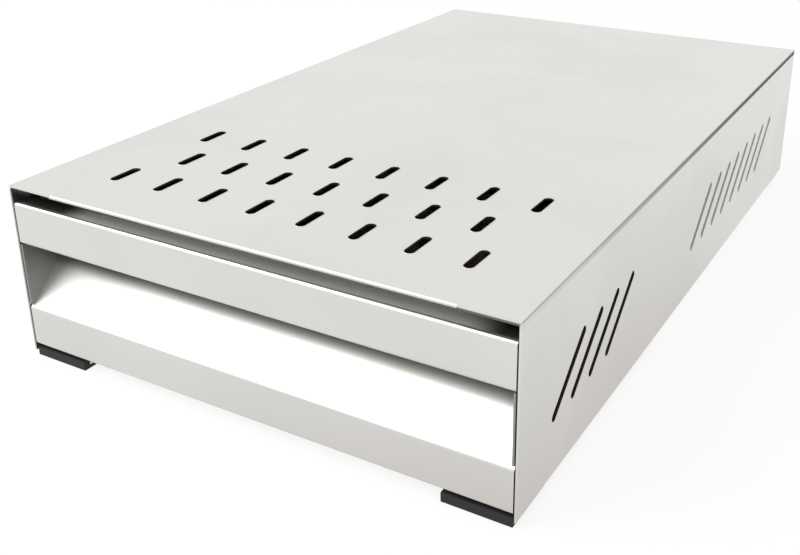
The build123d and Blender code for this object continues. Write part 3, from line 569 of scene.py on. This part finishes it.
class SMOKEBOX_OT_case_sheets(bpy.types.Operator):
    """Finish the case sheets: top plate, side walls, floor and rear panel"""

    bl_idname = "smokebox.case_sheets"
    bl_label = "Case Sheets"

    def execute(self, context):
        dress(polished_sheet("polished_top", ALONG_DEPTH, self.painted_shade_top, self.shaded_top), "top_plate")
        for side, way in (("right", 1), ("left", -1)):
            name = "side_wall_" + side
            masks = (self.painted_shade_wall(name, way), self.shaded_wall(name, way))
            made = polished_sheet("polished_wall_" + side, ALONG_DEPTH, *masks)
            cuts = self.rear_cuts(made.node_tree, name)
            change(made, "Roughness", cuts, DULL_ROUGHNESS)
            change(made, "Metallic", cuts, CUT_METALLIC)
            dress(made, name)
        dress(polished_sheet("polished_rear", ALONG_WIDTH), "rear_panel")
        dress(plain_sheet("plain_floor", ALONG_WIDTH, soot=0.3), "base_plate")
        return {"FINISHED"}

    def painted_shade_top(self, tree):
        """Painted shade in the soot colour: the underside outside the hem, the walls of the slots and, less,
        the cut long edges.
        """
        low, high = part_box("top_plate")
        edge = 0.004
        hemmed = zone(
            tree, 0.008, left=-HEM_REACH, right=HEM_REACH, front=low.y, rear=low.y + HEM_DEPTH,
            bottom=low.z - edge, top=high.z)
        under = both(tree, facing(tree, DOWN), outside(tree, hemmed))
        within = zone(
            tree, 0.002, left=low.x + edge, right=high.x - edge, front=low.y + edge, rear=high.y - edge,
            bottom=low.z, top=high.z + edge)
        upright = outside(tree, either(tree, facing(tree, DOWN), facing(tree, UP)))
        cut_edges = part_of(tree, self.shaded_top(tree), 0.6)
        return either(tree, under, both(tree, within, upright), cut_edges)

    def shaded_top(self, tree):
        """The cut long edges, which end the seam over the walls and darken towards the rear."""
        sides = either(tree, facing(tree, RIGHT), facing(tree, LEFT))
        return both(tree, sides, self.rear_of(tree, "top_plate", least=0.4))

    def rear_of(self, tree, name, least):
        """1 at the rear of a sheet, going down to the least towards its front."""
        low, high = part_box(name)
        rear = zone(tree, REAR_FADE, front=(low.y + high.y) / 2 - REAR_FADE_BEFORE_MIDDLE)
        return math_node(tree, "MULTIPLY_ADD", rear, 1.0 - least, least)

    def rear_cuts(self, tree, name):
        """The punched faces of the air slots behind the partition, which scatter the light."""
        low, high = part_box(name)
        margin = 0.02
        bay = zone(
            tree, 0.002, front=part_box("partition")[0].y, rear=high.y - margin,
            bottom=low.z + margin, top=high.z - margin)
        flat = either(tree, facing(tree, RIGHT), facing(tree, LEFT))
        return both(tree, bay, outside(tree, flat))

    def painted_shade_wall(self, name, way):
        """Painted shade in the soot colour: the inside of a wall up to the partition with the slots in it,
        and most of the seam above.
        """
        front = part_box(name)[0].y + 0.01
        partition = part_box("partition")[0].y

        def mask(tree):
            inner = outside(tree, facing(tree, (way, 0, 0), limit=0.35))
            chamber = zone(tree, 0.01, front=front, rear=partition)
            return either(tree, both(tree, inner, chamber), part_of(tree, self.seam(tree, name), SEAM_PAINTED_SHADE))

        return mask

    def shaded_wall(self, name, way):
        """The inside of a wall behind the partition, the seam under the top plate and the left front edge."""
        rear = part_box(name)[1].y - 0.002
        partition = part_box("partition")[0].y
        edge_share = 0.55 if way < 0 else 0.0

        def mask(tree):
            inner = facing(tree, (-way, 0, 0))
            bay = zone(tree, 0.01, front=partition, rear=rear)
            edge = part_of(tree, facing(tree, FRONT, limit=0.7), edge_share)
            return either(tree, both(tree, inner, bay), self.seam(tree, name), edge)

        return mask

    def seam(self, tree, name):
        """The groove between a wall and the top plate, painted as shade that darkens towards the rear."""
        groove = zone(tree, 0.0006, bottom=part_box(name)[1].z - SEAM_DEPTH)
        return both(tree, groove, self.rear_of(tree, name, least=0.05))


class SMOKEBOX_OT_slot_rims(bpy.types.Operator):
    """Add the pressed rims round the smoke slots and the air slots"""

    bl_idname = "smokebox.slot_rims"
    bl_label = "Slot Rims"

    def execute(self, context):
        sizes = context.scene.slot_sizes
        tree = rim_tree()
        low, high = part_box("top_plate")
        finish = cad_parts["top_plate"].data.materials[0]
        rows = []
        for row, count in enumerate(TOP_ROWS):
            start = (-(count - 1) / 2 * sizes.top_pitch, low.y + sizes.top_first + row * sizes.row_pitch,
                     high.z - TOP_RIM_SINK * sizes.rim)
            rows.append(self.row(tree, sizes.top_length, sizes.top_width, {
                "Count": count, "Start": start, "Step": (sizes.top_pitch, 0.0, 0.0),
                "Turn": (0.0, 0.0, math.pi / 2), "Finish": finish}))
        joined("smoke_slot_rims", rows, "case")
        self.wall_rims(tree, sizes, "right", 1)
        self.wall_rims(tree, sizes, "left", -1)
        return {"FINISHED"}

    def row(self, tree, length, width, values):
        """A row of rims round slots of one size."""
        sizes = bpy.context.scene.slot_sizes
        return grown(tree, {
            "Length": length + 2 * sizes.rim, "Width": width + 2 * sizes.rim, "Radius": sizes.rim,
            "Sides": sizes.rim_sides, **values})

    def wall_rims(self, tree, sizes, side, way):
        """Rims on one wall, in a front and a rear group."""
        low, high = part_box("side_wall_" + side)
        x = (high.x if way > 0 else low.x) - way * SIDE_RIM_SINK * sizes.rim
        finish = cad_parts["side_wall_" + side].data.materials[0]
        # The rim lies flat in XY: stood up on the wall, then leaned back by the slot angle.
        lean = Matrix.Rotation(math.pi / 2, 3, "Z") @ Matrix.Rotation(math.pi / 2, 3, "X")
        lean = lean @ Matrix.Rotation(sizes.side_angle, 3, "Z")
        rows = []
        for first, count in SIDE_GROUPS:
            rows.append(self.row(tree, sizes.side_length, sizes.side_width, {
                "Count": count, "Start": (x, low.y + first, sizes.side_height),
                "Step": (0.0, sizes.side_pitch, 0.0), "Turn": tuple(lean.to_euler()), "Finish": finish}))
        joined("air_slot_rims_" + side, rows, "case")


class SMOKEBOX_OT_drawer(bpy.types.Operator):
    """Finish the drawer: front, pull bar, end plates and tray"""

    bl_idname = "smokebox.drawer"
    bl_label = "Drawer"

    def execute(self, context):
        dress(self.front(), "drawer_front")
        dress(self.bar(), "pull_bar")
        # The end plates are darkened as painted shade in the recess.
        cheeks = plain_sheet("plain_cheeks", ALONG_DEPTH, shade=0.8)
        dress(cheeks, "drawer_cheek_right", "drawer_cheek_left")
        dress(plain_sheet("plain_tray", ALONG_WIDTH, soot=0.45), "drawer_tray")
        return {"FINISHED"}

    def front(self):
        """The front sheet: bright on the slope, and in the dark under and behind the bar."""
        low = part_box("drawer_front")[0]
        bar_low, bar_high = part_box("pull_bar")

        def shaded(tree):
            behind = zone(tree, 0.003, front=bar_high.y + 0.008, bottom=bar_low.z - 0.004)
            under = zone(tree, 0.006, front=low.y + 0.005, bottom=bar_low.z - 0.0195)
            return either(tree, behind, part_of(tree, under, 0.8))

        made = polished_sheet("polished_front", ALONG_WIDTH, shaded=shaded)
        tree = made.node_tree
        slope = facing(tree, UP_AND_FRONT, limit=0.9)
        fine = zone(tree, SLOPE_FADE, left=low.x + SLOPE_FADE / 2)
        change(made, "Roughness", slope, blend(tree, fine, SLOPE_END_ROUGHNESS, SLOPE_ROUGHNESS))
        return made

    def bar(self):
        """The pull bar: its folds are dull in the middle, and painted dark at the ends as shade."""
        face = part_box("pull_bar")[0].y

        def hollow(tree):
            """The folds behind the flat face."""
            return zone(tree, 0.001, front=face + 0.0022)

        def shaded(tree):
            """Half dark at the front of the folds, and clearing towards their rear."""
            deep = zone(tree, 0.012, front=face + 0.008)
            return both(tree, hollow(tree), math_node(tree, "MULTIPLY_ADD", deep, -0.45, 0.5))

        # Painted shade in the soot colour at both ends of the folds.
        def painted_shade_mask(tree):
            middle = zone(tree, 0.02, left=0.012 - HEM_REACH, right=HEM_REACH + 0.012)
            return both(tree, hollow(tree), outside(tree, middle))

        made = polished_sheet("polished_bar", ALONG_WIDTH, painted_shade_mask, shaded)
        dull = hollow(made.node_tree)
        change(made, "Metallic", dull, FOLD_METALLIC)
        change(made, "Roughness", dull, DULL_ROUGHNESS)
        return made


class SMOKEBOX_OT_chip_pan(bpy.types.Operator):
    """Finish the wood chip pan and its grips"""

    bl_idname = "smokebox.chip_pan"
    bl_label = "Chip Pan"

    def execute(self, context):
        tinted = patchy_metal(
            "pan_steel", clean=(0.5, 0.48, 0.44), tint=(0.13, 0.085, 0.055), size=34.0, roughness=0.4)
        dress(tinted, "chip_pan", "pan_grips")
        return {"FINISHED"}


class SMOKEBOX_OT_runners(bpy.types.Operator):
    """Finish the drawer runners and the heater brackets"""

    bl_idname = "smokebox.runners"
    bl_label = "Runners and Brackets"

    def execute(self, context):
        runner = plain_sheet("plain_runner", ALONG_DEPTH, soot=0.3)
        dress(runner, "drawer_runner_right", "drawer_runner_left")
        bracket = plain_sheet("plain_bracket", ALONG_DEPTH, soot=0.4)
        dress(bracket, "element_bracket_right", "element_bracket_left")
        return {"FINISHED"}


class SMOKEBOX_OT_heater(bpy.types.Operator):
    """Finish the heater with its glands, gland nuts and terminal sleeves"""

    bl_idname = "smokebox.heater"
    bl_label = "Heater"

    def execute(self, context):
        sheath = patchy_metal(
            "heater_sheath", clean=(0.1, 0.09, 0.085), tint=(0.19, 0.11, 0.07), size=60.0, roughness=0.5,
            metallic=0.8)
        dress(sheath, "heater_element")
        brass = patchy_metal(
            "gland_brass", clean=(0.72, 0.55, 0.27), tint=(0.42, 0.27, 0.12), size=90.0, roughness=0.3)
        dress(brass, "element_glands", "gland_nuts", "terminal_sleeves")
        return {"FINISHED"}


class SMOKEBOX_OT_heat_barrier(bpy.types.Operator):
    """Finish the partition, the insulation board and the heat shield"""

    bl_idname = "smokebox.heat_barrier"
    bl_label = "Heat Barrier"

    def execute(self, context):
        dress(plain_sheet("plain_partition", ALONG_WIDTH, soot=0.5), "partition")
        dress(plain_sheet("plain_shield", ALONG_WIDTH, soot=0.05), "heat_shield")
        fibre = moulded("ceramic_fibre", (0.8, 0.78, 0.7), roughness=0.9, fineness=700.0, depth=0.0003)
        dress(fibre, "insulation_board")
        return {"FINISHED"}


class SMOKEBOX_OT_fasteners(bpy.types.Operator):
    """Finish the screws, nuts, rivets and the earth stud"""

    bl_idname = "smokebox.fasteners"
    bl_label = "Fasteners"

    def execute(self, context):
        zinc = patchy_metal(
            "bright_zinc", clean=(0.72, 0.72, 0.71), tint=(0.5, 0.5, 0.47), size=300.0, roughness=0.22)
        dress(zinc, "rear_panel_screws", "rear_panel_nuts", "foot_rivets", "shield_screws", "shield_nuts",
              "bracket_screws", "cutout_screws", "terminal_screws", "block_screws", "inlet_screws",
              "inlet_nuts", "earth_stud", "earth_nut", "heater_pins")
        return {"FINISHED"}


class SMOKEBOX_OT_electrics(bpy.types.Operator):
    """Finish the inlet, terminals, cut-out and terminal block"""

    bl_idname = "smokebox.electrics"
    bl_label = "Electrics"

    def execute(self, context):
        black = moulded("black_moulding", (0.018, 0.018, 0.019), roughness=0.45)
        dress(black, "power_inlet", "switch_housing")
        tin = patchy_metal(
            "tinned_contact", clean=(0.7, 0.69, 0.66), tint=(0.55, 0.52, 0.47), size=400.0, roughness=0.25)
        dress(tin, "inlet_blades", "cutout_tabs", "switch_tabs", "earth_lug")
        dress(moulded("steatite", (0.84, 0.82, 0.76), roughness=0.7, fineness=1800.0), "terminal_block")
        shell = moulded(
            "cutout_shell", (0.6, 0.6, 0.6), roughness=0.4, fineness=900.0, depth=0.00002, metallic=1.0)
        dress(shell, "thermal_cutout")
        return {"FINISHED"}


class SMOKEBOX_OT_rocker(bpy.types.Operator):
    """Finish the rocker and add its raised on and off marks"""

    bl_idname = "smokebox.rocker"
    bl_label = "Rocker"

    def execute(self, context):
        gloss = moulded(
            "rocker_gloss", (0.02, 0.02, 0.021), roughness=0.2, fineness=1200.0, depth=0.000005)
        dress(gloss, "switch_rocker")
        marks = context.scene.rocker_marks
        white = moulded("mark_white", (0.75, 0.75, 0.73), roughness=0.4, fineness=1500.0, depth=0.000005)
        on_height, off_height = 0.27, 0.73
        bar = self.mark(marks, white, on_height, 2 * marks.line)
        ring = self.mark(marks, white, off_height, marks.height)
        joined("rocker_marks", [bar, ring], "rocker")
        return {"FINISHED"}

    def mark(self, marks, finish, share, width):
        """A raised outline on the rocker's rear face, at a share of the rocker's height."""
        low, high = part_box("switch_rocker")
        clearance = 0.02
        eye = Vector(((low.x + high.x) / 2, high.y + clearance, low.z + share * (high.z - low.z)))
        hit, place, normal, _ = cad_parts["switch_rocker"].ray_cast(eye, FRONT)
        if not hit:
            raise RuntimeError("the rocker's face was not found")
        up = Vector(RIGHT).cross(normal)
        turn = Matrix((up, normal.cross(up), normal)).transposed().to_euler()
        return grown(bpy.data.node_groups["Slot Row"], {
            "Length": marks.height, "Width": width, "Radius": marks.line, "Sides": 8, "Count": 1,
            "Start": tuple(place), "Step": (0.0, 0.0, 0.0), "Turn": tuple(turn), "Finish": finish})


class SMOKEBOX_OT_wires(bpy.types.Operator):
    """Finish the wires inside the electrics bay"""

    bl_idname = "smokebox.wires"
    bl_label = "Wires"

    def execute(self, context):
        brown = moulded("wire_brown", (0.16, 0.06, 0.03), roughness=0.5)
        dress(brown, "heater_lead_left", "heater_lead_right", "wire_live_supply", "wire_live_switched",
              "wire_cutout_return")
        dress(moulded("wire_blue", (0.04, 0.14, 0.5), roughness=0.5), "wire_neutral_supply")
        dress(moulded("wire_green", (0.2, 0.42, 0.05), roughness=0.5), "wire_earth")
        return {"FINISHED"}


class SMOKEBOX_OT_feet(bpy.types.Operator):
    """Finish the rubber feet"""

    bl_idname = "smokebox.feet"
    bl_label = "Feet"

    def execute(self, context):
        rubber = moulded(
            "foot_rubber", (0.012, 0.012, 0.012), roughness=0.75, fineness=1500.0, depth=0.00008)
        dress(rubber, "foot_left_front", "foot_left_rear", "foot_right_front", "foot_right_rear")
        return {"FINISHED"}


class SMOKEBOX_OT_studio(bpy.types.Operator):
    """Set up the pale floor, the plain surroundings, the lamp and the camera"""

    bl_idname = "smokebox.studio"
    bl_label = "Studio"

    def execute(self, context):
        setup = context.scene.studio_setup
        context.scene.view_settings.view_transform = "Standard"
        self.floor(context)
        self.surroundings(context, setup)
        self.key_light(context, setup)
        self.camera(context, setup)
        return {"FINISHED"}

    def floor(self, context):
        """A white floor that keeps the case's shadow. Reflections see a darker, warmer painted shade round
        the case.
        """
        mesh = bpy.data.meshes.new("floor")
        half = 4.0
        corners = [(-half, -half, 0), (half, -half, 0), (half, half, 0), (-half, half, 0)]
        mesh.from_pydata(corners, [], [(0, 1, 2, 3)])
        floor = bpy.data.objects.new("floor", mesh)
        context.scene.collection.objects.link(floor)
        paper, tree, shader = material("floor_paper")
        tree.nodes.remove(shader)
        matte = node(tree, "ShaderNodeBsdfDiffuse", {"Color": (0.86, 0.86, 0.855, 1.0)})
        low, high = cad_box
        # Painted shade round the case's footprint, strongest at the front right corner, which only glossy and
        # transmission rays see.
        near = zone(tree, 0.3, left=low.x, right=high.x, front=low.y, rear=high.y)
        corner = zone(tree, 0.45, left=0.05, right=high.x + 0.1, front=low.y - 0.1, rear=0.0)
        all_round, more_at_corner = 0.35, 0.9
        painted_floor_shade = both(tree, near, math_node(tree, "MULTIPLY_ADD", corner, more_at_corner, all_round))
        seen = node(tree, "ShaderNodeLightPath").outputs
        mirrored = either(tree, seen["Is Glossy Ray"], seen["Is Transmission Ray"])
        white, warm = (1.0, 1.0, 1.0, 1.0), (0.62, 0.575, 0.54, 1.0)
        tint = colour_mix(tree, both(tree, painted_floor_shade, mirrored), white, warm)
        # What the camera sees keeps a fifth of the shadow, and is lifted a little to end up white.
        kept_white, lift = 0.8, 0.05
        strength = math_node(tree, "MULTIPLY_ADD", seen["Is Camera Ray"], lift, 1.0)
        glow = node(tree, "ShaderNodeEmission", {"Color": tint, "Strength": strength})
        share = either(tree, part_of(tree, seen["Is Camera Ray"], kept_white), mirrored)
        links = {0: share, 1: matte.outputs[0], 2: glow.outputs[0]}
        mixed = node(tree, "ShaderNodeMixShader", links)
        tree.links.new(mixed.outputs[0], tree.nodes["Material Output"].inputs["Surface"])
        mesh.materials.append(paper)

    def surroundings(self, context, setup):
        """Plain white all round, a little weaker as light than as what is seen or mirrored."""
        world = bpy.data.worlds.new("plain_studio")
        context.scene.world = world
        world.use_nodes = True
        tree = world.node_tree
        back = tree.nodes["Background"]
        back.inputs["Color"].default_value = (1.0, 1.0, 1.0, 1.0)
        seen = node(tree, "ShaderNodeLightPath").outputs
        direct = either(tree, seen["Is Camera Ray"], seen["Is Glossy Ray"])
        share_as_light = 0.8
        links = {"Value": direct, "To Min": setup.sky * share_as_light, "To Max": setup.sky}
        strength = node(tree, "ShaderNodeMapRange", links)
        tree.links.new(strength.outputs[0], back.inputs["Strength"])

    def key_light(self, context, setup):
        """A large soft lamp above, in front and to the left, which the sloping wall of the recess mirrors."""
        lamp = bpy.data.lights.new("key", "AREA")
        lamp.shape = "RECTANGLE"
        lamp.size, lamp.size_y = 1.2, 0.8
        lamp.energy = setup.key_power
        holder = bpy.data.objects.new("key", lamp)
        slope_middle = Vector((0.0, -0.24, 0.06))
        towards_lamp = Vector((-0.57, -0.485, 0.665))
        distance = 1.6
        holder.location = slope_middle + towards_lamp * distance
        holder.rotation_mode = "QUATERNION"
        holder.rotation_quaternion = towards_lamp.to_track_quat("Z", "Y")
        context.scene.collection.objects.link(holder)

    def camera(self, context, setup):
        """A view of the case from in front, from the right and from above."""
        lens = bpy.data.cameras.new("camera")
        lens.lens = setup.lens
        lens.shift_x, lens.shift_y = setup.shift
        holder = bpy.data.objects.new("camera", lens)
        context.scene.collection.objects.link(holder)
        turn = Matrix.Rotation(setup.azimuth, 4, "Z") @ Matrix.Rotation(math.pi / 2 - setup.elevation, 4, "X")
        turn = turn @ Matrix.Rotation(setup.roll, 4, "Z")
        holder.matrix_world = Matrix.Translation(setup.eye) @ turn
        context.scene.camera = holder


class SMOKEBOX_PT_panel(bpy.types.Panel):
    """Sizes, colours and the steps in order"""

    bl_label = "Smoke Box"
    bl_idname = "SMOKEBOX_PT_panel"
    bl_space_type = "VIEW_3D"
    bl_region_type = "UI"
    bl_category = "Smoke Box"

    def draw(self, context):
        for holder, kind in SETTINGS.items():
            box = self.layout.box()
            for key in kind.__annotations__:
                box.prop(getattr(context.scene, holder), key)
        for step in STEPS:
            self.layout.operator(step.bl_idname)


SETTINGS = {
    "sheet_finish": SheetFinish,
    "slot_sizes": SlotSizes,
    "rocker_marks": RockerMarks,
    "studio_setup": StudioSetup,
}
STEPS = (
    SMOKEBOX_OT_case_sheets,
    SMOKEBOX_OT_slot_rims,
    SMOKEBOX_OT_drawer,
    SMOKEBOX_OT_chip_pan,
    SMOKEBOX_OT_runners,
    SMOKEBOX_OT_heater,
    SMOKEBOX_OT_heat_barrier,
    SMOKEBOX_OT_fasteners,
    SMOKEBOX_OT_electrics,
    SMOKEBOX_OT_rocker,
    SMOKEBOX_OT_wires,
    SMOKEBOX_OT_feet,
    SMOKEBOX_OT_studio,
)


def register():
    for kind in (*SETTINGS.values(), *STEPS, SMOKEBOX_PT_panel):
        bpy.utils.register_class(kind)
    for holder, kind in SETTINGS.items():
        setattr(bpy.types.Scene, holder, PointerProperty(type=kind))


def unregister():
    for holder in SETTINGS:
        delattr(bpy.types.Scene, holder)
    for kind in reversed((*SETTINGS.values(), *STEPS, SMOKEBOX_PT_panel)):
        bpy.utils.unregister_class(kind)


def main():
    register()
    for step in STEPS:
        group, name = step.bl_idname.split(".")
        getattr(getattr(bpy.ops, group), name)()


if __name__ == "__main__":
    main()
